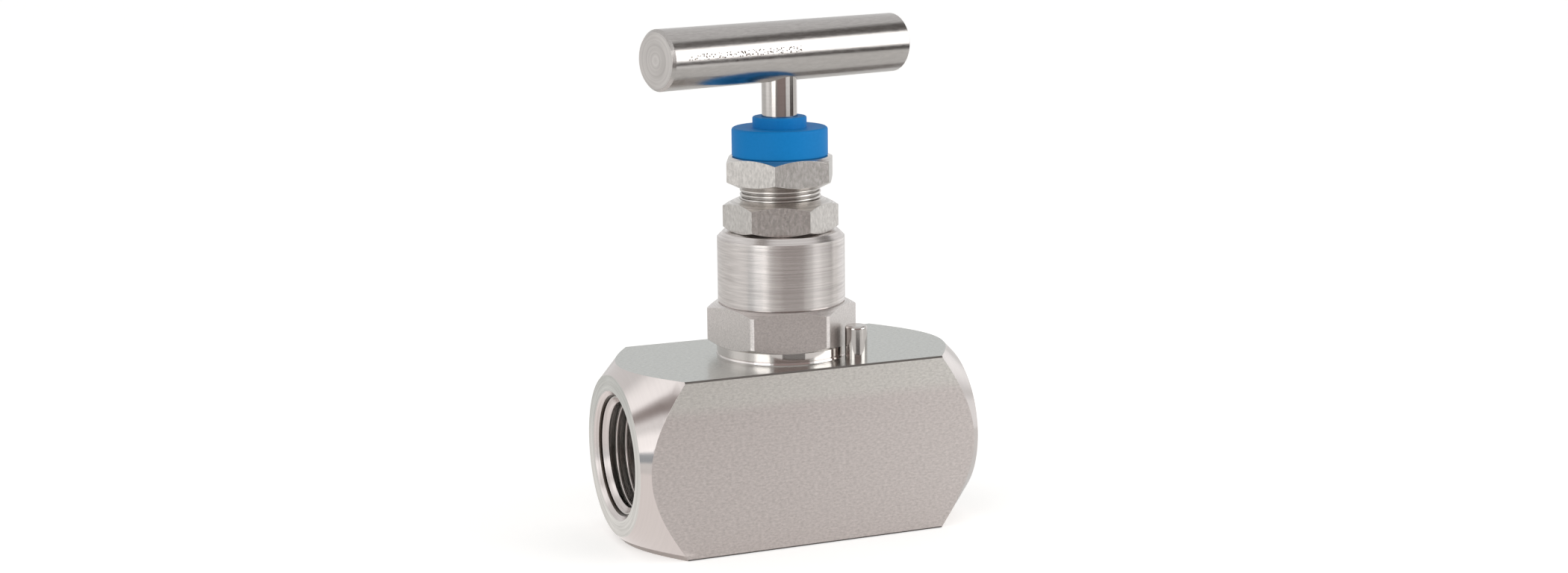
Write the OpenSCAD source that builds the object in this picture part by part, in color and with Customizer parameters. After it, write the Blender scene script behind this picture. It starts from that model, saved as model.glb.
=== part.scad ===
// Hand-operated needle valve: a square bar-stock body with two female pipe
// ports in line, a bonnet screwed into its top, a packed gland under a dust
// cap, and a T-bar on a rising stem with a non-rotating needle.
//
// The origin is the centre of the body's bottom face, on the stem's axis.
// +Z runs up the stem, and +X runs with the flow, from inlet to outlet.
// The valve stands closed, with the needle down on its seat.

/* [Body] */
// Length of the body over its two turned ends
body_length = 65; // [64:0.5:72]
// Side of the square bar that the body is cut from
bar_side = 32; // [31:0.5:34]
// Diameter left flat on each turned end
end_face_d = 29; // [27:0.5:30]
// Chamfer along the bar's long edges
bar_edge_break = 0.3; // [0.1:0.1:0.8]

/* [Ports] */
// Major diameter of the pipe thread in each port
port_thread_d = 21.3; // [20:0.1:21.6]
// Depth of full thread from the end face
port_thread_depth = 14.5; // [12:0.5:15]
// Diameter of each port's mouth, at its end face
port_mouth_d = 23.2; // [22.4:0.1:24]
// Diameter of the hole drilled before tapping
port_drill_d = 18.4; // [17.5:0.1:18.6]

/* [Seat and needle] */
// Diameter of the seat's orifice
seat_d = 4; // [3:0.1:4.4]
// Diameter of the drilled flow passages
passage_d = 4.5; // [3.5:0.1:5]
// Full angle of the needle's cone and of its seat
needle_angle = 60; // [50:1:70]
// Diameter of the needle's shank
needle_d = 5; // [4.8:0.1:5.2]

/* [Stem] */
// Diameter of the polished stem
stem_d = 6.3; // [6:0.1:6.6]
// Diameter of the stem's lifting thread
stem_thread_d = 8; // [7.8:0.1:8.4]
// Travel of the stem for one turn of the T-bar
stem_pitch = 1.25; // [1:0.05:1.25]
// Turns of the T-bar from closed to fully open
stem_turns = 3.75; // [2:0.25:4]
// Length of polished stem between the dust cap and the T-bar
stem_shown = 6.2; // [6:0.1:12]

/* [Bonnet] */
// Size of the bonnet's hexagon across its flats
bonnet_af = 23.8; // [23.8:0.1:24.4]
// Diameter to which the hexagon's corners are turned down
bonnet_corner_d = 27.05; // [26.8:0.05:27.2]
// Height of the bonnet's hexagon
bonnet_hex_h = 7.5; // [7:0.05:9]
// Angle of the bonnet's hexagon about the stem
bonnet_turn = 45; // [43:1:47]
// Diameter of the round barrel above the hexagon
barrel_d = 23; // [22:0.1:23.4]
// Height of the barrel
barrel_h = 12.9; // [12.5:0.1:16]
// Diameter of the collar that seats on the body
collar_d = 23.7; // [23.2:0.1:23.7]
// Height of the collar
collar_h = 2; // [1.5:0.05:2.5]
// Height of the lip at the collar's foot, below a fine groove
collar_lip_h = 0.4; // [0.2:0.05:0.6]
// Width and depth of the tool relief at the barrel's foot
barrel_relief = 0.3; // [0.2:0.05:0.5]

/* [Bonnet lock pin] */
// Diameter of the pin that stops the bonnet unscrewing
pin_d = 4; // [3.8:0.1:4]
// Height of the pin above the body
pin_h = 5.9; // [5:0.1:7]
// Distance of the pin from the stem's axis
pin_reach = 14.4; // [14.3:0.05:14.6]
// Bearing of the pin about the stem
pin_bearing = -45; // [-46:1:-44]

/* [Gland and nuts] */
// Diameter of the gland nut's threaded shank
gland_thread_d = 14.6; // [14.2:0.1:15]
// Size of the gland nut across its flats
gland_af = 18.2; // [18:0.1:19]
// Height of the gland nut's hexagon
gland_hex_h = 5.6; // [5:0.1:7]
// Angle of the gland nut about the stem
gland_turn = 3; // [0:1:59]
// Size of the lock nut across its flats
lock_af = 18; // [18:0.1:19]
// Height of the lock nut
lock_h = 5.9; // [5:0.1:7]
// Angle of the lock nut about the stem
lock_turn = 38; // [0:1:59]
// Length of thread that shows between the two nuts
thread_shown = 2; // [1:0.1:4]
// Depth of that thread, from crest to root
gland_thread_h = 0.45; // [0.3:0.05:0.6]
// Slope of the chamfers turned on every hexagon
hex_slope = 26; // [20:1:28]

/* [Packing] */
// Diameter of the packing chamber
packing_d = 11.2; // [10.8:0.1:11.4]
// Number of V-shaped packing rings
packing_rings = 3; // [1:1:3]
// Depth of each ring's V
packing_vee = 0.7; // [0.5:0.05:0.8]

/* [Dust cap] */
// Outer diameter of the dust cap
cap_d = 17.2; // [17:0.1:18]
// Height of the dust cap's skirt
cap_h = 5.15; // [5:0.05:7]
// Diameter of the cap's neck round the stem
cap_neck_d = 9.7; // [9.2:0.1:11]
// Height of the cap's neck
cap_neck_h = 1.9; // [1:0.1:3]

/* [T-bar] */
// Length of the T-bar
tbar_length = 53.8; // [40:0.1:70]
// Diameter of the T-bar
tbar_d = 10.7; // [10:0.1:13]
// Bearing of the T-bar about the stem when closed
tbar_turn = 16.5; // [-90:0.5:90]

/* [Hidden] */
$fn = 96;

// Clearances
thread_gap = 0.02;
run_gap = 0.05;
seat_gap = 0.05;

// Levels up the outside, from the bottom face
body_top = bar_side;
port_z = bar_side / 2;
collar_top = body_top + collar_h;
bonnet_hex_top = collar_top + bonnet_hex_h;
barrel_top = bonnet_hex_top + barrel_h;
barrel_bevel = 1.05;
lock_top = barrel_top + lock_h;
gland_low = lock_top + thread_shown;
gland_top = gland_low + gland_hex_h;
cap_top = gland_top + cap_h;
neck_top = cap_top + cap_neck_h;
tbar_z = neck_top + stem_shown + tbar_d / 2;

// Body: turned ends, port drilling and the cavity under the bonnet
end_slope = 45;
bar_corner_r = bar_side / sqrt(2);
port_drill_depth = port_thread_depth + 2.5;
drill_point = 118;
bonnet_thread_d = 20;
cavity_low = body_top - 11;
chamber_d = 12;
chamber_low = body_top - 19;
seat_z = chamber_low - 0.8;
inlet_z = seat_z - 2.9;
outlet_z = chamber_low + 4.4;
gasket_h = 1;
pin_depth = 8;

// Stem, needle and the joint between them
stem_lift = stem_pitch * stem_turns;
stem_foot = chamber_low + 3.6;
stem_foot_d = stem_thread_d - 0.2;
thread_low = cavity_low - 1;
socket_d = needle_d + 2 * run_gap + 0.1;
socket_top = stem_foot + 4.4;
clip_low = stem_foot + 0.6;
clip_h = 0.7;
clip_out_d = 5.9;
clip_in_d = 4.1;
ball_d = 2.5;
needle_tip_d = 1;
tbar_hole_top = tbar_z + 2.7;
grub_d = 4;
stem_flat = stem_d / 2 - 0.4;

// Packing chamber and gland, inside the bonnet
packing_z = body_top + 6.3;
gland_bore_low = packing_z + 7.7;
packing_in_d = stem_d + 2 * run_gap;
stem_shoulder = (stem_thread_d - stem_d) / 2;
thread_high = packing_z - stem_lift - stem_shoulder - 0.2;
base_h = 1;
ring_pitch = 1.4;
ring_h = ring_pitch;
head_low = packing_z + base_h + packing_rings * ring_pitch;
head_h = 1.8;
bush_low = head_low + head_h;
bush_flange_low = max(gland_bore_low + 0.4, bush_low + 1.2);
bush_top = bush_flange_low + 1.4;
nut_face_inset = 0.15;
spigot_d = 13.2;
spigot_h = cap_h - 1.4;
wiper_d = 1.6;

function circumdiameter(across_flats) = across_flats / cos(30);

// Points of a round corner of radius r about [x, y], from one angle to another
function corner(x, y, r, from, to, steps = 6) =
    [for (i = [0 : steps]) let (a = from + (to - from) * i / steps)
        [x + r * cos(a), y + r * sin(a)]];

module turned(points) {
    rotate_extrude() polygon(points);
}

// A plain bore up the stem's axis between two levels
module bore(d, low, high) {
    translate([0, 0, low]) cylinder(d = d, h = high - low);
}

// A washer or bush
module ring(d_out, d_in, low, high) {
    difference() {
        bore(d_out, low, high);
        bore(d_in, low - 1, high + 1);
    }
}

// A hexagon whose corners are chamfered by cones that start at the given
// radii on its bottom and top faces. A corner_d under the hexagon's own
// diameter over its corners turns them down.
module hexagon(across_flats, turn, low, high, r_low, r_high, corner_d) {
    r = corner_d / 2;
    rise = tan(hex_slope);
    intersection() {
        rotate([0, 0, turn]) translate([0, 0, low])
            cylinder(d = circumdiameter(across_flats), h = high - low, $fn = 6);
        turned([[0, low], [r_low, low], [r, low + (r - r_low) * rise],
                [r, high - (r - r_high) * rise], [r_high, high], [0, high]]);
    }
}

// The bar with its long edges broken
module square_bar() {
    s = bar_side / 2;
    e = s - bar_edge_break;
    translate([-body_length / 2, 0, port_z]) rotate([90, 0, 90])
        linear_extrude(body_length)
            polygon([[s, e], [e, s], [-e, s], [-s, e], [-s, -e], [-e, -s], [e, -s], [s, -e]]);
}

// The envelope that the lathe leaves at both ends
module turned_ends() {
    half = body_length / 2;
    cone = (bar_corner_r + 1 - end_face_d / 2) / tan(end_slope);
    translate([0, 0, port_z]) rotate([0, 90, 0])
        turned([[0, -half], [end_face_d / 2, -half], [bar_corner_r + 1, cone - half],
                [bar_corner_r + 1, half - cone], [end_face_d / 2, half], [0, half]]);
}

// One port, cut along +X from the middle of the body
module port() {
    face = body_length / 2;
    mouth = (port_mouth_d - port_thread_d) / 2;
    floor_x = face - port_drill_depth;
    point = port_drill_d / 2 / tan(drill_point / 2);
    translate([0, 0, port_z]) rotate([0, 90, 0])
        turned([[0, floor_x - point], [port_drill_d / 2, floor_x],
                [port_drill_d / 2, face - port_thread_depth],
                [port_thread_d / 2, face - port_thread_depth],
                [port_thread_d / 2, face - mouth], [port_mouth_d / 2, face],
                [port_mouth_d / 2, face + 1], [0, face + 1]]);
}

// A passage drilled level, from inside a port to beyond the stem's axis
module passage(z, inner, outer) {
    point = passage_d / 2 / tan(drill_point / 2);
    translate([0, 0, z]) rotate([0, 90, 0])
        turned([[0, inner - point], [passage_d / 2, inner], [passage_d / 2, outer], [0, outer]]);
}

// Bonnet cavity, gasket ledge, flow chamber, conical seat and orifice
module stem_bores() {
    seat_rise = chamber_low - seat_z;
    seat_mouth = seat_d / 2 + seat_rise * tan(needle_angle / 2);
    turned([[0, inlet_z], [seat_d / 2, inlet_z], [seat_d / 2, seat_z],
            [seat_mouth, chamber_low], [chamber_d / 2, chamber_low],
            [chamber_d / 2, cavity_low], [bonnet_thread_d / 2 + thread_gap, cavity_low],
            [bonnet_thread_d / 2 + thread_gap, body_top + 1], [0, body_top + 1]]);
}

module at_pin() {
    rotate([0, 0, pin_bearing]) translate([pin_reach, 0, 0]) children();
}

module body() {
    drilled_from = body_length / 2 - port_drill_depth + 0.5;
    color("#B8B2AC") difference() {
        intersection() {
            square_bar();
            turned_ends();
        }
        port();
        mirror([1, 0, 0]) port();
        stem_bores();
        mirror([1, 0, 0]) passage(inlet_z, -seat_d / 4, drilled_from);
        passage(outlet_z, 0, drilled_from);
        at_pin() bore(pin_d, body_top - pin_depth, body_top + 1);
    }
}

module bonnet_gasket() {
    color("#8C8F92")
        ring(bonnet_thread_d - 0.4, chamber_d + 0.4, cavity_low, cavity_low + gasket_h);
}

module bonnet() {
    thread_r = bonnet_thread_d / 2;
    low = cavity_low + gasket_h;
    barrel_r = barrel_d / 2;
    collar_r = collar_d / 2;
    lip_r = collar_r + 0.1;
    groove_r = collar_r - 0.15;
    groove_z = body_top + collar_lip_h;
    relief_r = barrel_r - barrel_relief;
    relief_top = bonnet_hex_top + barrel_relief;
    color("#B9B2B0") difference() {
        union() {
            turned([[0, low], [thread_r - 1, low], [thread_r, low + 1],
                    [thread_r, body_top - 1.2], [thread_r - 0.8, body_top - 1.2],
                    [thread_r - 0.8, body_top], [lip_r, body_top],
                    [collar_r, groove_z - 0.05], [groove_r, groove_z],
                    [collar_r, groove_z + 0.1], [collar_r, collar_top], [barrel_r, collar_top],
                    [barrel_r, bonnet_hex_top], [relief_r, bonnet_hex_top],
                    [relief_r, relief_top], [barrel_r, relief_top],
                    [barrel_r, barrel_top - barrel_bevel],
                    [barrel_r - barrel_bevel, barrel_top], [0, barrel_top]]);
            hexagon(bonnet_af, bonnet_turn, collar_top, bonnet_hex_top,
                    collar_r, barrel_r, bonnet_corner_d);
        }
        bore(stem_thread_d + 2 * run_gap, low - 1, packing_z + 1);
        bore(packing_d, packing_z, gland_bore_low + 1);
        bore(gland_thread_d + 2 * thread_gap, gland_bore_low, barrel_top + 1);
    }
}

module bonnet_lock_pin() {
    r = pin_d / 2;
    low = body_top - pin_depth;
    high = body_top + pin_h;
    tip = 0.5;
    color("#C4C2C0") at_pin()
        turned(concat([[0, low], [r - tip, low], [r, low + tip]],
                      corner(r - tip, high - tip, tip, 0, 90), [[0, high]]));
}

module stem() {
    r = stem_d / 2;
    thread_r = stem_thread_d / 2;
    color("#CFCDCB") difference() {
        turned([[0, stem_foot], [stem_foot_d / 2 - 0.3, stem_foot],
                [stem_foot_d / 2, stem_foot + 0.3], [stem_foot_d / 2, thread_low],
                [thread_r, thread_low + 0.1], [thread_r, thread_high],
                [r, thread_high + stem_shoulder], [r, tbar_hole_top - 0.3],
                [r - 0.3, tbar_hole_top], [0, tbar_hole_top]]);
        bore(socket_d, stem_foot - 1, socket_top);
        bore(clip_out_d + 0.1, clip_low, clip_low + clip_h + 0.1);
        rotate([0, 0, tbar_turn])
            translate([-stem_d, stem_flat, tbar_z - grub_d / 2 - 0.5])
                cube([2 * stem_d, stem_d, grub_d + 5]);
    }
}

module needle() {
    r = needle_d / 2;
    neck_r = clip_in_d / 2 - 0.1;
    slope = tan(needle_angle / 2);
    up = seat_gap / sin(needle_angle / 2);
    cone_top = seat_z + (r - seat_d / 2) / slope + up;
    tip_z = seat_z - (seat_d - needle_tip_d) / 2 / slope + up;
    neck_low = clip_low - 0.3;
    head_low = clip_low + clip_h + 0.25;
    head_top = socket_top - ball_d / 2;
    color("#C9C7C5") difference() {
        turned([[0, tip_z], [needle_tip_d / 2, tip_z], [r, cone_top], [r, neck_low],
                [neck_r, neck_low], [neck_r, head_low], [r, head_low], [r, head_top], [0, head_top]]);
        translate([0, 0, socket_top - run_gap - ball_d / 2]) sphere(d = ball_d);
    }
}

module thrust_ball() {
    color("#D6D6D6") translate([0, 0, socket_top - run_gap - ball_d / 2]) sphere(d = ball_d);
}

// A split ring in the stem's groove, under the needle's head
module needle_clip() {
    color("#9A9A98") difference() {
        ring(clip_out_d, clip_in_d, clip_low, clip_low + clip_h);
        translate([0, -0.4, clip_low - 1]) cube([clip_out_d, 0.8, clip_h + 2]);
    }
}

// A packing piece: its lower and upper faces are each flat or a raised V
module vee_piece(low, h, vee_low, vee_high) {
    r_in = packing_in_d / 2;
    r_out = packing_d / 2 - thread_gap;
    r_mid = (r_in + r_out) / 2;
    turned([[r_in, low], [r_mid, low + vee_low], [r_out, low],
            [r_out, low + h], [r_mid, low + h + vee_high], [r_in, low + h]]);
}

module packing_base() {
    color("#A8A8A6") vee_piece(packing_z, base_h, 0, packing_vee);
}

module packing_ring(i) {
    color("#F0EFEA")
        vee_piece(packing_z + base_h + (i - 1) * ring_pitch, ring_h, packing_vee, packing_vee);
}

module packing_head() {
    color("#A8A8A6") vee_piece(head_low, head_h, packing_vee, 0);
}

module gland_bush() {
    color("#B98F4E") difference() {
        turned([[0, bush_low], [packing_d / 2 - thread_gap, bush_low],
                [packing_d / 2 - thread_gap, bush_flange_low],
                [gland_thread_d / 2 - 0.2, bush_flange_low],
                [gland_thread_d / 2 - 0.2, bush_top], [0, bush_top]]);
        bore(packing_in_d, bush_low - 1, bush_top + 1);
    }
}

module gland_nut() {
    r = gland_thread_d / 2;
    root_r = r - gland_thread_h;
    spigot_r = spigot_d / 2;
    groove_z = gland_top + 1.2;
    spigot_top = gland_top + spigot_h;
    color("#B7B4AE") difference() {
        union() {
            turned([[0, bush_top], [r - 0.6, bush_top], [r, bush_top + 0.6],
                    [r, lock_top - thread_gap], [root_r, lock_top - thread_gap],
                    [root_r, gland_low + 1], [spigot_r, gland_low + 1],
                    [spigot_r, groove_z], [spigot_r - 0.3, groove_z],
                    [spigot_r - 0.3, groove_z + 0.8], [spigot_r, groove_z + 0.8],
                    [spigot_r, spigot_top - 0.3], [spigot_r - 0.3, spigot_top], [0, spigot_top]]);
            hexagon(gland_af, gland_turn, gland_low, gland_top,
                    r + 0.3, gland_af / 2 - nut_face_inset, circumdiameter(gland_af) + 1);
        }
        bore(packing_in_d + 0.2, bush_top - 1, spigot_top + 1);
        bore(stem_d + 2 * run_gap + 2 * wiper_d + 0.04, spigot_top - wiper_d, spigot_top + 1);
    }
}

module lock_nut() {
    r = gland_thread_d / 2;
    color("#B4ADA9") difference() {
        hexagon(lock_af, lock_turn, barrel_top, lock_top,
                lock_af / 2 - nut_face_inset, r + 0.3, circumdiameter(lock_af) + 1);
        bore(gland_thread_d + 2 * thread_gap, barrel_top - 1, lock_top + 1);
    }
}

// Rubber ring that wipes the stem, in the top of the gland nut
module wiper_ring() {
    color("#26282A") translate([0, 0, gland_top + spigot_h - wiper_d / 2])
        rotate_extrude() translate([stem_d / 2 + run_gap + wiper_d / 2, 0]) circle(d = wiper_d, $fn = 24);
}

// Moulded cap that snaps over the gland nut's spigot
module dust_cap() {
    r = cap_d / 2;
    neck_r = cap_neck_d / 2;
    in_r = spigot_d / 2 + thread_gap;
    bead_z = gland_top + 1.3;
    edge = 0.5;
    color("#1B6DB5") difference() {
        turned(concat([[0, gland_top], [r - 0.2, gland_top], [r, gland_top + 0.2]],
                      corner(r - edge, cap_top - edge, edge, 0, 90),
                      [[neck_r, cap_top]],
                      corner(neck_r - 0.3, neck_top - 0.3, 0.3, 0, 90),
                      [[0, neck_top]]));
        turned([[0, gland_top - 1], [in_r, gland_top - 1], [in_r, bead_z],
                [in_r - 0.2, bead_z + 0.1], [in_r - 0.2, bead_z + 0.4], [in_r, bead_z + 0.6],
                [in_r, gland_top + spigot_h], [0, gland_top + spigot_h]]);
        bore(stem_d + 4 * run_gap, gland_top, neck_top + 1);
    }
}

module t_bar() {
    r = tbar_d / 2;
    half = tbar_length / 2;
    bevel = 0.5;
    seam = 40; // turns the bar's seam clear of the stem and screw holes
    color("#B3B0AC") rotate([0, 0, tbar_turn]) difference() {
        translate([0, 0, tbar_z]) rotate([0, 90, 0]) rotate([0, 0, seam])
            turned([[0, -half], [r - bevel, -half], [r, bevel - half],
                    [r, half - bevel], [r - bevel, half], [0, half]]);
        bore(stem_d + 2 * thread_gap, tbar_z - tbar_d, tbar_hole_top);
        translate([0, 0, tbar_z]) rotate([-90, 0, 0]) cylinder(d = grub_d, h = tbar_d);
    }
}

// Socket screw in the back of the T-bar, down on the stem's flat
module grub_screw() {
    high = tbar_d / 2 - 0.6;
    color("#4A4B4D") rotate([0, 0, tbar_turn]) translate([0, 0, tbar_z]) rotate([-90, 0, 0])
        difference() {
            turned([[0, stem_flat], [grub_d / 2 - 0.5, stem_flat], [grub_d / 2, stem_flat + 0.5],
                    [grub_d / 2, high - 0.2], [grub_d / 2 - 0.2, high], [0, high]]);
            translate([0, 0, high - 1.1]) cylinder(d = circumdiameter(2), h = 2, $fn = 6);
        }
}

body();
bonnet();
bonnet_gasket();
bonnet_lock_pin();
stem();
needle();
thrust_ball();
needle_clip();
packing_base();
packing_ring(1);  // packing_ring_1
packing_ring(2);  // packing_ring_2
packing_ring(3);  // packing_ring_3
packing_head();
gland_bush();
gland_nut();
lock_nut();
wiper_ring();
dust_cap();
t_bar();
grub_screw();
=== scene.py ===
"""Looks of a bar-stock needle valve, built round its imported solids.

The solids are never moved or changed. This script adds the screw threads that show, in
sizes of its own that fit them, gives each surface the finish that its machining leaves,
and stands the valve in a pale studio.
Everything is in metres, in the solids' own frame, with +Z up the stem.
"""
import math

import bpy
from mathutils import Matrix, Vector


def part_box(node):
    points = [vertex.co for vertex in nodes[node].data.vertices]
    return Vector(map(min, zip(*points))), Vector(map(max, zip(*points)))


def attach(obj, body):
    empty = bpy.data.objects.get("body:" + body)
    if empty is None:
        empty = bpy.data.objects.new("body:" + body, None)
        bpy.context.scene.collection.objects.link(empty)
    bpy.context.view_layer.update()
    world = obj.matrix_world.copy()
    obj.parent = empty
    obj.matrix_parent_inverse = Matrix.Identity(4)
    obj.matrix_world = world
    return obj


MM = 0.001

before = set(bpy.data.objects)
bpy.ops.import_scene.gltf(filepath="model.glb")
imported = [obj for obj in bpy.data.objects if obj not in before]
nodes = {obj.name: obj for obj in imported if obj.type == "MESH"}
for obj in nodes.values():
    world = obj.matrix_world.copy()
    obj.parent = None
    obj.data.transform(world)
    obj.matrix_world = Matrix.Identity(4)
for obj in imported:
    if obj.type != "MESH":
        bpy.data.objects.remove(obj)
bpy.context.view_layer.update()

# Levels and sizes read from the solids
body_low, body_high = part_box("body")
lock_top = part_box("lock_nut")[1].z
tbar_low, tbar_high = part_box("t_bar")
PORT_Z = (body_low.z + body_high.z) / 2
TBAR_Z = (tbar_low.z + tbar_high.z) / 2

# Port thread: a taper pipe thread of 14 turns to the inch, made straight here, in a bore
# with a 45 degree countersink. Its start lies outside the end face.
PORT_PITCH = 25.4 * MM / 14
PORT_BORE_R = 10.65 * MM
PORT_CREST_R = 9.45 * MM
PORT_CREST_FLAT = 0.22 * MM
PORT_MOUTH_R = 11.6 * MM
PORT_THREAD_START = -1.25 * MM
PORT_THREAD_DEPTH = 14.4 * MM

# Width of the groove that shows between the countersink's foot and the first crests
PORT_GROOVE_SHOWN = 0.27 * MM

# Gland thread, which shows between the two nuts
GLAND_PITCH = 0.8 * MM
GLAND_ROOT_R = 6.85 * MM
GLAND_CREST_R = 7.3 * MM
GLAND_CREST_FLAT = 0.3 * MM
GLAND_SHOWN = 2 * MM

# How far each thread's root and the band's rim sink into the metal that carries them
PORT_SINK = 0.01 * MM
BAND_SINK = 0.02 * MM
GLAND_SINK = 0.02 * MM

# Making of the ridges: facets round a turn, the root's width as a share of the pitch,
# the rounding of a crest's corners as a share of its flat, and the weld after a cut
THREAD_FACETS = 96
ROUND_FACETS = 192
ROOT_SHARE = 0.97
CREST_ROUNDING = 0.4
WELD = 0.003 * MM
SEAM_WELD = 0.001 * MM

# Faces of a ridge and of the band that meet at less than this are shaded as one
RIDGE_SMOOTH = math.radians(40)
BAND_SMOOTH = math.radians(30)

# Heights of the bonnet's collar and hexagon, which part its turned faces from its milled
COLLAR_H = 2.0 * MM
HEXAGON_H = 7.5 * MM

# The T-bar's bearing about the stem when the valve is shut
TBAR_TURN = math.radians(16.5)


# ---------------------------------------------------------------- studio

# The camera's place, its lens in millimetres, and its turn, dip and roll in degrees
CAMERA_PLACE = (-0.15389, -0.37463, 0.12141)
CAMERA_LENS = 52.4
CAMERA_BEARING = 22.4
CAMERA_DIP = 10.825
CAMERA_ROLL = -0.623

# How far off the lamps stand, and the height that lamps and cards look at
LAMP_FAR = 0.75
AIM_Z = 0.05

# Where a soft card's fade starts and ends from its middle, in shares of its width
FADE_FROM = 0.12
FADE_TO = 0.5

FLOOR_SIZE = 6
SECTOR_FACETS = 96
SECTOR_LIFT = 1 * MM

# Light that the paper adds for the eye alone, so that it reads as white
PAPER_LIFT = 0.35
# Plain fill from all round on surfaces that scatter light
SOFT_FILL = 0.92


def place_round(bearing, climb, reach):
    """The point at a bearing about the stem and a climb above level, in degrees."""
    turn = math.radians(bearing)
    rise = math.radians(climb)
    way = Vector((math.cos(turn) * math.cos(rise), math.sin(turn) * math.cos(rise),
                  math.sin(rise)))
    return way * reach + Vector((0, 0, AIM_Z))


def width_at(reach, angle):
    """The width that fills an angle, in degrees, at a reach from the stem."""
    return 2 * reach * math.tan(math.radians(angle / 2))


def face_stem(thing, place):
    """Turns a lamp or a card at a place so that its front looks at the valve."""
    thing.location = place
    thing.rotation_euler = (Vector((0, 0, AIM_Z)) - place).to_track_quat("-Z", "Y").to_euler()


def add_camera():
    bpy.ops.object.camera_add(location=CAMERA_PLACE)
    camera = bpy.context.object
    camera.data.lens = CAMERA_LENS
    camera.data.clip_start = 10 * MM
    turn = (Matrix.Rotation(math.radians(-CAMERA_BEARING), 3, "Z")
            @ Matrix.Rotation(math.radians(90 - CAMERA_DIP), 3, "X")
            @ Matrix.Rotation(math.radians(CAMERA_ROLL), 3, "Z"))
    camera.rotation_euler = turn.to_euler()
    bpy.context.scene.camera = camera


def add_softbox(name, bearing, climb, width, height, radiance):
    """A rectangular lamp. Its bearing, climb, width and height are in degrees."""
    bpy.ops.object.light_add(type="AREA")
    lamp = bpy.context.object
    lamp.name = name
    face_stem(lamp, place_round(bearing, climb, LAMP_FAR))
    lamp.data.shape = "RECTANGLE"
    lamp.data.size = width_at(LAMP_FAR, width)
    lamp.data.size_y = width_at(LAMP_FAR, height)
    lamp.data.energy = radiance * math.pi * lamp.data.size * lamp.data.size_y
    lamp.visible_camera = False


def add_card(name, bearing, climb, width, height, reach, shade, glow=1.0, soft=False):
    """A studio card that only the metal's reflections see, as a flag on a stand does.

    Its bearing, climb, width and height are in degrees, and its reach is in metres.
    """
    bpy.ops.mesh.primitive_plane_add(size=1)
    card = bpy.context.object
    card.name = name
    card.scale = (width_at(reach, width), width_at(reach, height), 1)
    face_stem(card, place_round(bearing, climb, reach))
    show_to_gloss_only(card, shade, glow, soft)


def add_floor_sector(name, inner, outer, start, end, shade, glow=1.0):
    """A patch of the table that shows in the metal: a sector cut from a flat ring.

    The ring's radii are in metres, and the sector's two bearings in degrees.
    """
    bpy.ops.object.select_all(action="DESELECT")
    bpy.ops.mesh.primitive_circle_add(vertices=SECTOR_FACETS, radius=outer, fill_type="NGON",
                                      location=(0, 0, SECTOR_LIFT))
    card = bpy.context.object
    card.name = name
    bpy.ops.object.mode_set(mode="EDIT")
    bpy.ops.mesh.select_all(action="SELECT")
    bpy.ops.mesh.inset(thickness=outer - inner)
    bpy.ops.mesh.delete(type="FACE")
    for bearing, first in ((start, True), (end, False)):
        turn = math.radians(bearing)
        bpy.ops.mesh.select_all(action="SELECT")
        bpy.ops.mesh.bisect(plane_co=card.location, plane_no=(-math.sin(turn), math.cos(turn), 0),
                            clear_inner=first, clear_outer=not first)
    bpy.ops.object.mode_set(mode="OBJECT")
    show_to_gloss_only(card, shade, glow, False)


def show_to_gloss_only(card, shade, glow, soft):
    """Makes a card shine in one shade, seen in reflections and by nothing else."""
    card.visible_camera = False
    card.visible_diffuse = False
    card.visible_shadow = False
    card.visible_transmission = False
    material, tree = new_material("card_" + card.name)
    shown = add(tree, "Emission", {"Color": linear(shade), "Strength": glow})
    if soft:
        centre = add(tree, "TexCoord").outputs["Object"]
        away = add(tree, "VectorMath", {0: centre}, operation="LENGTH")
        fade = add(tree, "MapRange", {"Value": away, "From Min": FADE_FROM, "From Max": FADE_TO},
                   interpolation_type="SMOOTHSTEP")
        clear = add(tree, "BsdfTransparent")
        shown = add(tree, "MixShader", {0: fade, 1: shown, 2: clear})
    add(tree, "OutputMaterial", {"Surface": shown})
    material.cycles.emission_sampling = "NONE"
    card.data.materials.append(material)


def add_floor():
    """A sheet of white paper, a little brighter to the eye than its light makes it."""
    bpy.ops.mesh.primitive_plane_add(size=FLOOR_SIZE)
    floor = bpy.context.object
    floor.name = "floor"
    material, tree = new_material("white_paper_sheet")
    paper = add(tree, "BsdfPrincipled", {"Base Color": linear("#F2F1EF"), "Roughness": 0.9})
    rays = add(tree, "LightPath").outputs
    lift = add(tree, "Emission", {"Strength": PAPER_LIFT})
    none = add(tree, "Emission", {"Strength": 0.0})
    seen = add(tree, "MixShader", {0: rays["Is Camera Ray"], 1: none, 2: lift})
    bright_paper = add(tree, "AddShader", {0: paper, 1: seen})
    add(tree, "OutputMaterial", {"Surface": bright_paper})
    floor.data.materials.append(material)


def set_world():
    """White wherever an eye, a mirror or glass looks, and a plain soft fill elsewhere."""
    world = bpy.data.worlds.new("pale_studio")
    bpy.context.scene.world = world
    world.use_nodes = True
    world.cycles.sampling_method = "NONE"
    tree = world.node_tree
    tree.nodes.clear()
    rays = add(tree, "LightPath").outputs
    glossy = add(tree, "Math", {0: rays["Is Camera Ray"], 1: rays["Is Glossy Ray"]},
                 operation="ADD")
    seen = add(tree, "Math", {0: glossy, 1: rays["Is Transmission Ray"]},
               operation="ADD", use_clamp=True)
    fill = add(tree, "Background", {"Strength": SOFT_FILL})
    white = add(tree, "Background", {"Strength": 1.0})
    either = add(tree, "MixShader", {0: seen, 1: fill, 2: white})
    add(tree, "OutputWorld", {"Surface": either})


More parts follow.
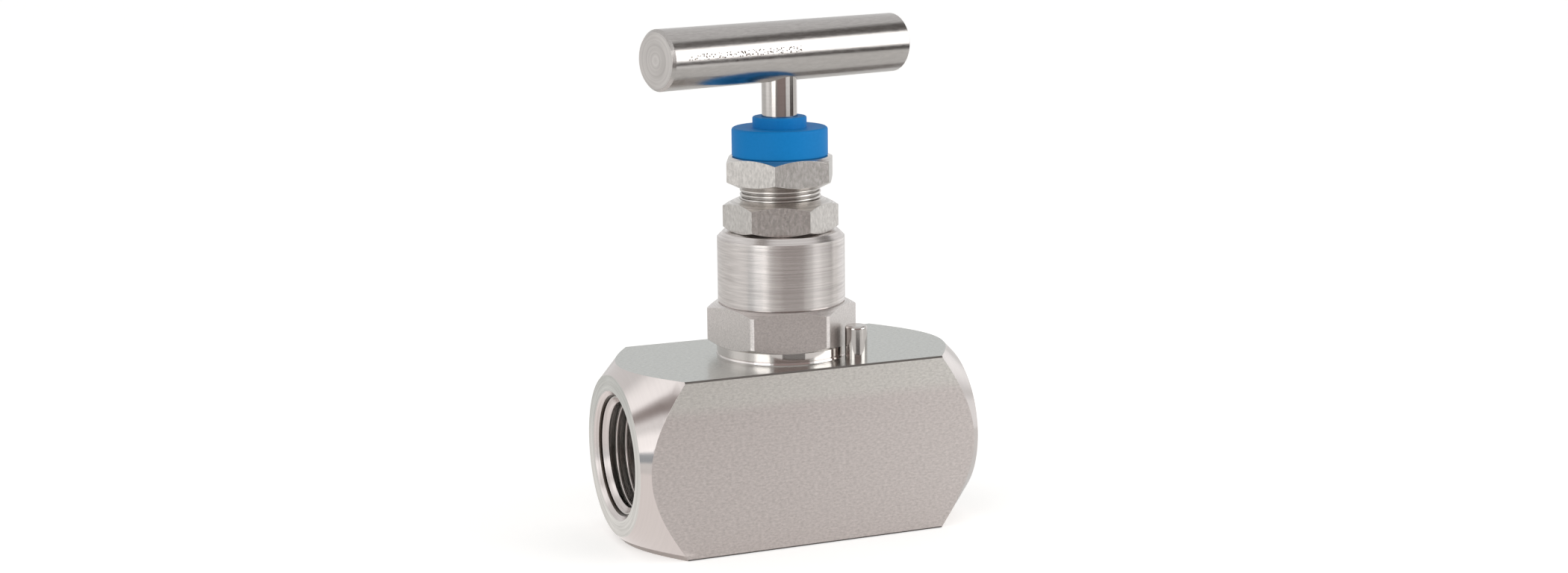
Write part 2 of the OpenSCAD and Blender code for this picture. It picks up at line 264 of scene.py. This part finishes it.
def light_studio():
    set_world()
    add_floor()

    # The two lamps, one to each side of the camera
    add_softbox("softbox_left", 212, 10, 28, 34, 1.9)
    add_softbox("softbox_right", 325, 18, 37, 37, 2.12)

    # The dim room behind the camera, which tones down every face that looks to the front
    add_card("room_in_front", 265, 12, 62, 56, 0.6, "#A0918E")

    # The dark line along the T-bar's upper side
    add_card("flag_over_right", 342, 43.5, 60, 18, 0.6, "#696563")

    # The left limbs of upright pieces and the T-bar's end, then the left cone's bands from
    # its top down: dark, bright, dark
    add_card("rim_glow", 166, 18, 56, 80, 0.6, "#FFFFFF", glow=1.25, soft=True)
    add_card("dark_above_left", 184, 28, 26, 17, 0.55, "#8E8481", soft=True)
    add_card("glow_left", 195, 8, 22, 24, 0.5, "#FFFFFF", glow=1.25, soft=True)
    add_card("shade_strip_left", 201, -13.4, 27, 7, 0.13, "#A0A8AD")

    # The stem's bright line, the corner beside the lock pin, and the right cone
    add_card("glow_beside_stem", 306, -3, 30, 3.5, 0.6, "#FFFFFF", glow=1.0)
    add_card("glow_right_high", 24, 16, 26, 16, 0.5, "#FFFFFF", glow=1.4, soft=True)
    add_card("glow_right_behind", 37, 1, 40, 12, 0.5, "#FFFFFF", glow=1.15, soft=True)

    # The table past the paper's edges, which darkens the nuts, the barrel, the stem and
    # the T-bar's lower side
    add_floor_sector("table_beyond_sheet", 0.26, 0.9, 222, 284, "#837D7B")
    add_floor_sector("table_right_of_sheet", 0.27, 0.9, 284, 352, "#453F3D")

    # The left end's lower cone, the bonnet's right side, and the barrel's bright line
    add_floor_sector("glow_left_low", 0.02, 0.10, 120, 215, "#FFFBF9", glow=0.93)
    add_floor_sector("glow_behind_right", 0.11, 0.60, 9, 44, "#FFFFFF", glow=0.95)
    add_floor_sector("glow_front_right", 0.19, 0.27, 306, 324, "#FFFFFF", glow=1.3)

    # The dark bands on the collar and the lock pin, and the one under the T-bar
    add_floor_sector("shade_in_front", 0.142, 0.182, 248, 287, "#332D2A")
    add_floor_sector("shade_right", 0.06, 0.12, 14, 42, "#8E8A87")


# ---------------------------------------------------------------- shader helpers

# Input numbers of the Mix node, whose names repeat for each kind of value. OFF is what
# it gives where the mask is 0, and ON where it is 1.
MASK = 0
NUMBER_OFF = 2
NUMBER_ON = 3
VECTOR_OFF = 4
VECTOR_ON = 5
COLOUR_OFF = 6
COLOUR_ON = 7


def linear(code):
    """An sRGB hex colour as the linear RGBA that the shaders take."""
    parts = [int(code[i:i + 2], 16) / 255 for i in (1, 3, 5)]
    return [p / 12.92 if p <= 0.04045 else ((p + 0.055) / 1.055) ** 2.4 for p in parts] + [1.0]


def new_material(name):
    material = bpy.data.materials.new(name)
    material.use_nodes = True
    material.node_tree.nodes.clear()
    return material, material.node_tree


def add(tree, kind, inputs=None, **settings):
    """Adds one shader node with its settings, and sets or links its inputs.

    An input is a plain value, another node's socket, or a node, which gives the first
    output that its settings leave live.
    """
    made = tree.nodes.new("ShaderNode" + kind)
    for name, value in settings.items():
        setattr(made, name, value)
    for name, value in (inputs or {}).items():
        if isinstance(value, bpy.types.Node):
            value = next(socket for socket in value.outputs if socket.enabled)
        if isinstance(value, bpy.types.NodeSocket):
            tree.links.new(value, made.inputs[name])
        else:
            made.inputs[name].default_value = value
    return made


def between(tree, value, low, high):
    """1 where a value lies between two limits, and 0 outside them."""
    above = add(tree, "Math", {0: value, 1: low}, operation="GREATER_THAN")
    below = add(tree, "Math", {0: value, 1: high}, operation="LESS_THAN")
    return add(tree, "Math", {0: above, 1: below}, operation="MULTIPLY")


def axis_frame(tree, centre, turn):
    """A place and a normal measured from a turned piece's own axis, with X along it.

    Returns the place, the distance from the axis, the normal's part along the axis
    and the direction in which a lathe tool cuts round the axis.
    """
    source = add(tree, "TexCoord").outputs
    moved = add(tree, "VectorMath", {0: source["Object"], 1: centre}, operation="SUBTRACT")
    place = add(tree, "VectorRotate", {"Vector": moved, "Rotation": turn},
                rotation_type="EULER_XYZ")
    normal = add(tree, "VectorRotate", {"Vector": source["Normal"], "Rotation": turn},
                 rotation_type="EULER_XYZ")
    off_axis = add(tree, "VectorMath", {0: place, 1: (0, 1, 1)}, operation="MULTIPLY")
    reach = add(tree, "VectorMath", {0: off_axis}, operation="LENGTH")
    along = add(tree, "SeparateXYZ", {0: normal})
    facing = add(tree, "Math", {0: along.outputs["X"]}, operation="ABSOLUTE")
    spin = add(tree, "VectorMath", {0: (1, 0, 0), 1: off_axis}, operation="CROSS_PRODUCT")
    back = add(tree, "VectorRotate", {"Vector": spin, "Rotation": turn},
               rotation_type="EULER_XYZ", invert=True)
    groove = add(tree, "VectorTransform", {0: back}, vector_type="VECTOR",
                 convert_from="OBJECT", convert_to="WORLD")
    return place, reach, facing, groove


# ---------------------------------------------------------------- materials

# Limits on how squarely a surface faces along an axis: 0 is side on and 1 is end on
SIDE_ON = 0.1
BAR_END_FROM = 0.2
TILTED = 0.35
CONE_FROM = 0.4
BAR_EDGE_FROM = 0.45
ROD_END_FROM = 0.8
END_ON = 0.9
LEVEL = 0.95

# How much turned rings change across the axis, as a share of how much along it
RING_WAVER = 0.06

# The share of its rings that the finely turned cone keeps, and the even heights to which
# the cone and the bright collar are smoothed
CONE_RINGS = 0.12
CONE_SMOOTH = 0.55
COLLAR_SMOOTH = 0.5

# Fineness of the rounding of sharp edges
EDGE_SAMPLES = 6

# The turn that lays the frame's +Z along a material's own X
UPRIGHT = (0, math.pi / 2, 0)


def turned_rings(tree, place, reach, spacing):
    """Feed marks: rings that change along the axis and outwards, and hardly round it."""
    apart = add(tree, "SeparateXYZ", {0: place}).outputs
    waver = add(tree, "Math", {0: apart["Y"], 1: RING_WAVER}, operation="MULTIPLY")
    spot = add(tree, "CombineXYZ", {"X": apart["X"], "Y": reach, "Z": waver})
    return add(tree, "TexNoise", {"Vector": spot, "Scale": 1 / spacing,
                                  "Detail": 3.0, "Roughness": 0.6})


def grain(tree, place, size, stretch):
    """Fine speckle of a ground or drawn face, drawn out along its first axis."""
    spot = add(tree, "Mapping", {"Vector": place, "Scale": (1 / stretch, 1, 1)})
    return add(tree, "TexNoise", {"Vector": spot, "Scale": 1 / size,
                                  "Detail": 4.0, "Roughness": 0.65})


def retinted(tree, mask, clean, dark, light):
    """A steel's dark and light tints, with two others in their place where a mask is."""
    return [add(tree, "Mix", {MASK: mask, COLOUR_OFF: tint, COLOUR_ON: linear(other)},
                data_type="RGBA")
            for tint, other in zip(clean, (dark, light))]


def steel_shader(tree, tints, height, relief, roughness, tangent, anisotropy, edge):
    """A bare stainless surface: full metal, the light steered by its tool marks.

    The marks' height blends the two tints and stands as deep as the relief, and sharp
    edges are rounded to a radius, as a deburring file leaves them.
    """
    dark, light = tints
    colour = add(tree, "Mix", {MASK: height, COLOUR_OFF: dark, COLOUR_ON: light},
                 data_type="RGBA")
    rounded = add(tree, "Bevel", {"Radius": edge}, samples=EDGE_SAMPLES)
    bump = add(tree, "Bump", {"Strength": 1.0, "Distance": relief, "Height": height,
                              "Normal": rounded})
    shader = add(tree, "BsdfPrincipled", {
        "Base Color": colour, "Metallic": 1.0, "Roughness": roughness,
        "Anisotropic": anisotropy, "Anisotropic Rotation": 0.25,
        "Tangent": tangent, "Normal": bump})
    add(tree, "OutputMaterial", {"Surface": shader})


# Inside this distance from the ports' axis the bar's turned surfaces are a port's own,
# and outside it they are the cone and the rim of the end face
PORT_REGION_R = 13 * MM

# Where shade is painted in each port's groove: two radii, and how deep from the end face
GROOVE_SHADE_INNER_R = 10.5 * MM
GROOVE_SHADE_OUTER_R = 10.87 * MM
GROOVE_SHADE_DEPTH = 1.3 * MM

# Heights above the ports' axis between which the bar's sides are painted paler, as a painted
# reflection
PALE_FROM = 9 * MM
PALE_TO = 12 * MM


def ground_bar_steel():
    """316 stainless square bar: its sides ground along the bar, so that they are satin
    with a fine speckle, and its top semi-bright. Both ends are turned: the cone finely,
    so that it mirrors the studio, and the face and the bore with plainer rings. The
    long edges were broken with a file and carry painted shade. The sides are painted
    paler towards their top edge, as a painted reflection, and painted shade darkens the
    groove at each port's mouth."""
    material, tree = new_material("ground_bar_stainless_steel")
    place, reach, facing, groove = axis_frame(tree, (0, 0, PORT_Z), (0, 0, 0))
    local = add(tree, "SeparateXYZ", {0: place}).outputs
    source_normal = add(tree, "TexCoord").outputs["Normal"]
    normal = add(tree, "SeparateXYZ", {0: source_normal}).outputs

    # The turned ends, their cones and faces
    tilted = add(tree, "Math", {0: facing, 1: BAR_END_FROM}, operation="GREATER_THAN")
    in_port = add(tree, "Math", {0: reach, 1: PORT_REGION_R}, operation="LESS_THAN")
    turned = add(tree, "Math", {0: tilted, 1: in_port}, operation="MAXIMUM")
    off_port = add(tree, "Math", {0: 1.0, 1: in_port}, operation="SUBTRACT")
    sloping = between(tree, facing, CONE_FROM, END_ON)
    on_cone = add(tree, "Math", {0: sloping, 1: off_port}, operation="MULTIPLY")
    on_face = add(tree, "Math", {0: facing, 1: END_ON}, operation="GREATER_THAN")

    # The ground top, and the filed long edges
    on_top = add(tree, "Math", {0: normal["Z"], 1: LEVEL}, operation="GREATER_THAN")
    sideways = add(tree, "Math", {0: normal["Y"]}, operation="ABSOLUTE")
    along_bar = add(tree, "Math", {0: facing, 1: SIDE_ON}, operation="LESS_THAN")
    slanting = between(tree, sideways, BAR_EDGE_FROM, END_ON)
    on_edge = add(tree, "Math", {0: slanting, 1: along_bar}, operation="MULTIPLY")
    edge_painted_shade = add(tree, "Math", {0: on_edge, 1: off_port}, operation="MULTIPLY")

    # Painted shade: the groove at each thread's mouth is painted dark
    from_middle = add(tree, "Math", {0: local["X"]}, operation="ABSOLUTE")
    at_mouth = add(tree, "Math", {0: from_middle, 1: body_high.x - GROOVE_SHADE_DEPTH},
                   operation="GREATER_THAN")
    in_groove = between(tree, reach, GROOVE_SHADE_INNER_R, GROOVE_SHADE_OUTER_R)
    groove_painted_shade = add(tree, "Math", {0: in_groove, 1: at_mouth}, operation="MULTIPLY")

    # Painted reflection: each side is painted a little paler towards its top edge
    risen = add(tree, "MapRange", {"Value": local["Z"], "From Min": PALE_FROM,
                                   "From Max": PALE_TO}, interpolation_type="SMOOTHSTEP")
    not_turned = add(tree, "Math", {0: 1.0, 1: turned}, operation="SUBTRACT")
    pale_painted_reflection = add(tree, "Math", {0: risen, 1: not_turned}, operation="MULTIPLY")

    tints = linear("#A8A19E"), linear("#F6EEEB")
    tints = retinted(tree, pale_painted_reflection, tints, "#AEABA6", "#FBF8F3")
    tints = retinted(tree, on_face, tints, "#A1A19C", "#F0F0EC")
    tints = retinted(tree, on_top, tints, "#9FA09C", "#DFE1DD")
    # Painted shade on the filed long edges, then in the ports' mouth grooves
    tints = retinted(tree, edge_painted_shade, tints, "#77726E", "#77726E")
    tints = retinted(tree, groove_painted_shade, tints, "#4A423C", "#4A423C")

    # The cone's rings are cut so finely that they hardly show
    rings = turned_rings(tree, place, reach, spacing=0.45 * MM)
    faint_rings = add(tree, "Mix", {MASK: CONE_RINGS, NUMBER_OFF: CONE_SMOOTH,
                                    NUMBER_ON: rings})
    end_rings = add(tree, "Mix", {MASK: on_cone, NUMBER_OFF: rings, NUMBER_ON: faint_rings})
    speckle = grain(tree, place, size=0.34 * MM, stretch=2.0)
    height = add(tree, "Mix", {MASK: turned, NUMBER_OFF: speckle, NUMBER_ON: end_rings})

    sides_or_top = add(tree, "Mix", {MASK: on_top, NUMBER_OFF: 0.40, NUMBER_ON: 0.24})
    port_or_cone = add(tree, "Mix", {MASK: on_cone, NUMBER_OFF: 0.25, NUMBER_ON: 0.13})
    roughness = add(tree, "Mix", {MASK: turned, NUMBER_OFF: sides_or_top,
                                  NUMBER_ON: port_or_cone})
    tangent = add(tree, "Mix", {MASK: turned, VECTOR_OFF: (1, 0, 0), VECTOR_ON: groove},
                  data_type="VECTOR")
    steel_shader(tree, tints, height, relief=0.011 * MM, roughness=roughness,
                 tangent=tangent, anisotropy=0.4, edge=0.06 * MM)
    return material


def turned_steel():
    """Stainless turned on a lathe and left so: fine rings round the stem's axis. The
    collar is finished bright, and the hexagon is left as milled, with a plain speckle."""
    material, tree = new_material("turned_stainless_steel")
    place, reach, facing, groove = axis_frame(tree, (0, 0, 0), UPRIGHT)
    object_place = add(tree, "TexCoord").outputs["Object"]
    level = add(tree, "SeparateXYZ", {0: object_place}).outputs["Z"]

    collar_foot = body_high.z - 1 * MM
    collar_top = body_high.z + COLLAR_H
    on_collar = between(tree, level, collar_foot, collar_top)
    in_hexagon = between(tree, level, collar_top, collar_top + HEXAGON_H)
    upright = add(tree, "Math", {0: facing, 1: TILTED}, operation="LESS_THAN")
    milled = add(tree, "Math", {0: in_hexagon, 1: upright}, operation="MULTIPLY")

    rings = turned_rings(tree, place, reach, spacing=0.36 * MM)
    speckle = grain(tree, object_place, size=0.28 * MM, stretch=1.3)
    lathe_marks = add(tree, "Mix", {MASK: on_collar, NUMBER_OFF: rings,
                                    NUMBER_ON: COLLAR_SMOOTH})
    height = add(tree, "Mix", {MASK: milled, NUMBER_OFF: lathe_marks, NUMBER_ON: speckle})
    lathe_gloss = add(tree, "Mix", {MASK: on_collar, NUMBER_OFF: 0.25, NUMBER_ON: 0.1})
    roughness = add(tree, "Mix", {MASK: milled, NUMBER_OFF: lathe_gloss, NUMBER_ON: 0.36})
    steel_shader(tree, (linear("#A9A3A0"), linear("#FBF5F2")), height, relief=0.013 * MM,
                 roughness=roughness, tangent=groove, anisotropy=0.6, edge=0.08 * MM)
    return material


# The threaded shank between the nuts lies inside this distance from the stem's axis
SHANK_REGION_R = 7.6 * MM


def milled_steel():
    """Stainless hexagon bar with turned chamfers, as both nuts are made. Drawing the bar
    leaves its grain up the flats."""
    material, tree = new_material("hexagon_bar_stainless_steel")
    place, reach, facing, groove = axis_frame(tree, (0, 0, 0), UPRIGHT)
    tilted = add(tree, "Math", {0: facing, 1: TILTED}, operation="GREATER_THAN")
    inside = add(tree, "Math", {0: reach, 1: SHANK_REGION_R}, operation="LESS_THAN")
    turned = add(tree, "Math", {0: tilted, 1: inside}, operation="MAXIMUM")

    rings = turned_rings(tree, place, reach, spacing=0.4 * MM)
    speckle = grain(tree, place, size=0.45 * MM, stretch=2.0)
    height = add(tree, "Mix", {MASK: turned, NUMBER_OFF: speckle, NUMBER_ON: rings})
    roughness = add(tree, "Mix", {MASK: turned, NUMBER_OFF: 0.27, NUMBER_ON: 0.22})
    steel_shader(tree, (linear("#96928E"), linear("#FFFBF7")), height, relief=0.026 * MM,
                 roughness=roughness, tangent=groove, anisotropy=0.4, edge=0.14 * MM)
    return material


# The patch of the T-bar where the die dragged, from its middle and along its own axes:
# along it, from front to axis, and up. The pits are only as coarse as they need to be to
# show.
DRAGGED_X = (-24 * MM, 1 * MM)
DRAGGED_Y = (-6 * MM, 0)
DRAGGED_Z = (0.1 * MM, 1.2 * MM)
PIT_SPACING = 0.4 * MM
PIT_SHARE = 0.35


def drawn_steel():
    """Bright drawn stainless rod with faced ends: draw marks run along it, and a line of
    small torn pits follows its front where the die dragged."""
    material, tree = new_material("bright_drawn_stainless_rod")
    place, reach, facing, groove = axis_frame(tree, (0, 0, TBAR_Z), (0, 0, -TBAR_TURN))
    local = add(tree, "SeparateXYZ", {0: place}).outputs
    faced = add(tree, "Math", {0: facing, 1: ROD_END_FROM}, operation="GREATER_THAN")

    cells = add(tree, "TexVoronoi", {"Vector": place, "Scale": 1 / PIT_SPACING})
    torn = add(tree, "Math", {0: cells, 1: PIT_SHARE}, operation="LESS_THAN")
    for axis, (low, high) in zip("ZYX", (DRAGGED_Z, DRAGGED_Y, DRAGGED_X)):
        within = between(tree, local[axis], low, high)
        torn = add(tree, "Math", {0: torn, 1: within}, operation="MULTIPLY")

    rings = turned_rings(tree, place, reach, spacing=0.5 * MM)
    draw_marks = grain(tree, place, size=0.3 * MM, stretch=6)
    height = add(tree, "Mix", {MASK: faced, NUMBER_OFF: draw_marks, NUMBER_ON: rings})
    rod_gloss = add(tree, "Mix", {MASK: draw_marks, NUMBER_OFF: 0.15, NUMBER_ON: 0.27})
    roughness = add(tree, "Mix", {MASK: faced, NUMBER_OFF: rod_gloss, NUMBER_ON: 0.42})
    tints = linear("#A19D9A"), linear("#CFCBC8")
    tints = retinted(tree, faced, tints, "#A29D9A", "#E6E2DF")
    tints = retinted(tree, torn, tints, "#3F3631", "#3F3631")
    steel_shader(tree, tints, height, relief=0.003 * MM, roughness=roughness,
                 tangent=groove, anisotropy=0.2, edge=0.08 * MM)
    return material


def polished_steel(name, foot):
    """Centreless-ground and polished stainless, as stems and dowel pins are. The foot is
    a point on the piece's upright axis."""
    material, tree = new_material(name)
    place, reach, _, groove = axis_frame(tree, foot, UPRIGHT)
    rings = turned_rings(tree, place, reach, spacing=0.3 * MM)
    steel_shader(tree, (linear("#C0BBB7"), linear("#D3CFCC")), rings, relief=0.0008 * MM,
                 roughness=0.1, tangent=groove, anisotropy=0.3, edge=0.1 * MM)
    return material


def plain_metal(name, dark, light, roughness, size, relief):
    """A small inner metal piece with a fine speckle."""
    material, tree = new_material(name)
    place = add(tree, "TexCoord").outputs["Object"]
    speckle = grain(tree, place, size, stretch=1.0)
    tangent = add(tree, "Tangent", axis="Z")
    steel_shader(tree, (linear(dark), linear(light)), speckle, relief=relief,
                 roughness=roughness, tangent=tangent, anisotropy=0.0, edge=0.05 * MM)
    return material


def moulded_plastic(name, dark, light, roughness, size, relief):
    """Injection-moulded polymer or rubber: one even colour under a fine, dull skin."""
    material, tree = new_material(name)
    place = add(tree, "TexCoord").outputs["Object"]
    skin = grain(tree, place, size, stretch=1.0)
    colour = add(tree, "Mix", {MASK: skin, COLOUR_OFF: linear(dark), COLOUR_ON: linear(light)},
                 data_type="RGBA")
    rounded = add(tree, "Bevel", {"Radius": 0.15 * MM}, samples=EDGE_SAMPLES)
    bump = add(tree, "Bump", {"Strength": 1.0, "Distance": relief, "Height": skin,
                              "Normal": rounded})
    shader = add(tree, "BsdfPrincipled", {
        "Base Color": colour, "Roughness": roughness, "IOR": 1.5,
        "Specular IOR Level": 0.14, "Normal": bump})
    add(tree, "OutputMaterial", {"Surface": shader})
    return material


# ---------------------------------------------------------------- screw threads

def add_outline(name):
    """A unit square of edges with no face, ready to be shaped and wound round an axis."""
    bpy.ops.object.select_all(action="DESELECT")
    bpy.ops.mesh.primitive_plane_add(size=1)
    outline = bpy.context.object
    outline.name = name
    bpy.ops.object.mode_set(mode="EDIT")
    bpy.ops.mesh.delete(type="ONLY_FACE")
    bpy.ops.object.mode_set(mode="OBJECT")
    return outline


def wind(profile, turns, advance, facets):
    """Winds a profile round the X axis into a mesh: a helix, or a ring if nothing advances."""
    screw = profile.modifiers.new("wind", "SCREW")
    screw.axis = "X"
    screw.angle = math.tau * turns
    screw.screw_offset = advance
    screw.steps = facets
    screw.render_steps = facets
    screw.use_merge_vertices = advance == 0
    screw.merge_threshold = SEAM_WELD
    bpy.context.view_layer.objects.active = profile
    bpy.ops.object.modifier_apply(modifier="wind")


def thread_ridge(name, start, pitch, root_r, crest_r, crest_flat, turns):
    """A right-hand ridge wound round the X axis from its start towards +X."""
    ridge = add_outline(name)
    middle = (root_r + crest_r) / 2
    deep = abs(root_r - crest_r)
    for point in ridge.data.vertices:
        point.select = (point.co.y > 0) == (crest_r > root_r)
        width = crest_flat if point.select else pitch * ROOT_SHARE
        point.co = Vector((start + point.co.x * width, 0, middle + point.co.y * deep))
    # The tool leaves the crest's corners slightly round
    bpy.ops.object.mode_set(mode="EDIT")
    bpy.ops.mesh.bevel(offset=crest_flat * CREST_ROUNDING, segments=3, affect="VERTICES")
    bpy.ops.object.mode_set(mode="OBJECT")
    wind(ridge, turns, pitch * turns, round(THREAD_FACETS * turns))
    close_ends(ridge)
    return ridge


def close_ends(ridge):
    """Caps both ends of a ridge, if it has any, and turns its faces outwards."""
    bpy.context.view_layer.objects.active = ridge
    bpy.ops.object.mode_set(mode="EDIT")
    bpy.ops.mesh.select_mode(type="VERT")
    bpy.ops.mesh.select_all(action="DESELECT")
    bpy.ops.mesh.select_non_manifold()
    bpy.ops.mesh.fill_holes(sides=0)
    bpy.ops.mesh.select_all(action="SELECT")
    bpy.ops.mesh.normals_make_consistent(inside=False)
    bpy.ops.object.mode_set(mode="OBJECT")


def cut_away(ridge, low, high, radius):
    """Takes a cylinder about the X axis, between two places, out of a ridge.

    A solid cutter leaves the bore open, where a flat cut's fill would close it.
    """
    bpy.ops.object.select_all(action="DESELECT")
    bpy.ops.mesh.primitive_cylinder_add(vertices=ROUND_FACETS, radius=radius, depth=high - low,
                                        location=((low + high) / 2, 0, 0),
                                        rotation=(0, math.pi / 2, 0))
    cutter = bpy.context.object
    bpy.context.view_layer.objects.active = ridge
    cut = ridge.modifiers.new("cut", "BOOLEAN")
    cut.operation = "DIFFERENCE"
    cut.solver = "EXACT"
    cut.object = cutter
    bpy.ops.object.modifier_apply(modifier="cut")
    bpy.data.objects.remove(cutter)


def face_off(ridge, low, high, widest_r):
    """Cuts a ridge that lies within a radius off flat at two places, and shades it."""
    clear_r = widest_r + 1 * MM
    clear_length = 6 * MM
    cut_away(ridge, low - clear_length, low, clear_r)
    cut_away(ridge, high, high + clear_length, clear_r)
    bpy.context.view_layer.objects.active = ridge
    bpy.ops.object.mode_set(mode="EDIT")
    bpy.ops.mesh.select_all(action="SELECT")
    bpy.ops.mesh.remove_doubles(threshold=WELD)
    bpy.ops.mesh.dissolve_degenerate(threshold=WELD)
    bpy.ops.object.mode_set(mode="OBJECT")
    bpy.ops.object.shade_smooth_by_angle(angle=RIDGE_SMOOTH)


def mouth_band(low, high):
    """The even land that the countersink leaves of a port's first crests, as a ring."""
    band = add_outline("mouth_band")
    for point in band.data.vertices:
        along = high if point.co.x > 0 else low
        out = PORT_BORE_R + BAND_SINK if point.co.y > 0 else PORT_MOUTH_R - along
        point.co = Vector((along, 0, out))
    wind(band, 1, 0, ROUND_FACETS)
    close_ends(band)
    bpy.ops.object.shade_smooth_by_angle(angle=BAND_SMOOTH)
    return band


def settle(piece, material, body):
    """Gives a finished piece its material and the body that it rides on."""
    bpy.context.view_layer.objects.active = piece
    piece.select_set(True)
    bpy.ops.object.transform_apply(location=True, rotation=True, scale=True)
    piece.select_set(False)
    piece.data.materials.clear()
    piece.data.materials.append(material)
    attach(piece, body)


def port_thread(name, half_turn, material):
    """One port's thread, from its countersink in to the end of full thread.

    The ridge starts outside the face, so that the countersink runs on over its first
    crests as one even band, behind a narrow groove.
    """
    groove_end = PORT_MOUTH_R - PORT_BORE_R + PORT_GROOVE_SHOWN
    band_end = PORT_MOUTH_R - PORT_CREST_R
    lap = 0.04 * MM
    turns = (PORT_THREAD_DEPTH - PORT_THREAD_START) / PORT_PITCH + 1
    ridge = thread_ridge(name, PORT_THREAD_START, PORT_PITCH, PORT_BORE_R + PORT_SINK,
                         PORT_CREST_R, PORT_CREST_FLAT, turns)
    face_off(ridge, band_end - lap, PORT_THREAD_DEPTH, PORT_MOUTH_R)
    band = mouth_band(groove_end, band_end)
    band.select_set(True)
    ridge.select_set(True)
    bpy.context.view_layer.objects.active = ridge
    bpy.ops.object.join()
    ridge.location = (body_low.x, 0, PORT_Z)
    if half_turn:
        ridge.rotation_euler = (0, 0, math.pi)
        ridge.location = (body_high.x, 0, PORT_Z)
    settle(ridge, material, "valve_body")


def gland_thread(material):
    """The gland nut's thread between the lock nut's top and the underside of its own
    hexagon. It runs on past both, so it is faced off flat there."""
    turns = GLAND_SHOWN / GLAND_PITCH + 2
    ridge = thread_ridge("gland_thread", 0, GLAND_PITCH, GLAND_ROOT_R - GLAND_SINK,
                         GLAND_CREST_R, GLAND_CREST_FLAT, turns)
    face_off(ridge, GLAND_PITCH, GLAND_PITCH + GLAND_SHOWN, GLAND_CREST_R)
    ridge.rotation_euler = (0, -math.pi / 2, 0)
    ridge.location = (0, 0, lock_top - GLAND_PITCH)
    settle(ridge, material, "valve_body")


# ---------------------------------------------------------------- the valve

def finish_nodes():
    """Gives every solid the finish of its own stock and machining."""
    turned = turned_steel()
    milled = milled_steel()
    pin_low, pin_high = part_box("bonnet_lock_pin")
    pin_foot = ((pin_low.x + pin_high.x) / 2, (pin_low.y + pin_high.y) / 2, 0)
    hardened = plain_metal("hardened_stainless_steel", "#B9B7B5", "#CBC9C7",
                           roughness=0.15, size=0.2 * MM, relief=0.0005 * MM)
    waxy = moulded_plastic("ptfe_packing", "#E6E4DE", "#F0EEE9",
                           roughness=0.45, size=0.3 * MM, relief=0.002 * MM)
    finishes = {
        "body": ground_bar_steel(),
        "bonnet": turned,
        "packing_base": turned,
        "packing_head": turned,
        "gland_nut": milled,
        "lock_nut": milled,
        "t_bar": drawn_steel(),
        "stem": polished_steel("polished_stainless_stem", (0, 0, 0)),
        "bonnet_lock_pin": polished_steel("ground_dowel_steel", pin_foot),
        "needle": hardened,
        "thrust_ball": hardened,
        "needle_clip": plain_metal("spring_steel_strip", "#6E6C6A", "#8C8A88",
                                   roughness=0.3, size=0.2 * MM, relief=0.001 * MM),
        "bonnet_gasket": plain_metal("annealed_steel_gasket", "#8A8B8D", "#9FA0A2",
                                     roughness=0.45, size=0.25 * MM, relief=0.002 * MM),
        "gland_bush": plain_metal("turned_bronze", "#A9803F", "#C29A58",
                                  roughness=0.3, size=0.3 * MM, relief=0.002 * MM),
        "grub_screw": plain_metal("black_oxide_steel", "#3A3A3B", "#4A4A4B",
                                  roughness=0.38, size=0.2 * MM, relief=0.002 * MM),
        "packing_ring_1": waxy,
        "packing_ring_2": waxy,
        "packing_ring_3": waxy,
        "wiper_ring": moulded_plastic("nitrile_rubber", "#1E1F20", "#2A2B2C",
                                      roughness=0.6, size=0.2 * MM, relief=0.003 * MM),
        "dust_cap": moulded_plastic("blue_polyethylene", "#0676BA", "#1280C6",
                                    roughness=0.55, size=0.5 * MM, relief=0.003 * MM),
    }
    for name, material in finishes.items():
        for slot in nodes[name].material_slots:
            slot.material = material
    return finishes


bpy.context.scene.view_settings.view_transform = "Standard"
add_camera()
light_studio()
finishes = finish_nodes()
port_thread("inlet_thread", False, finishes["body"])
port_thread("outlet_thread", True, finishes["body"])
gland_thread(finishes["gland_nut"])
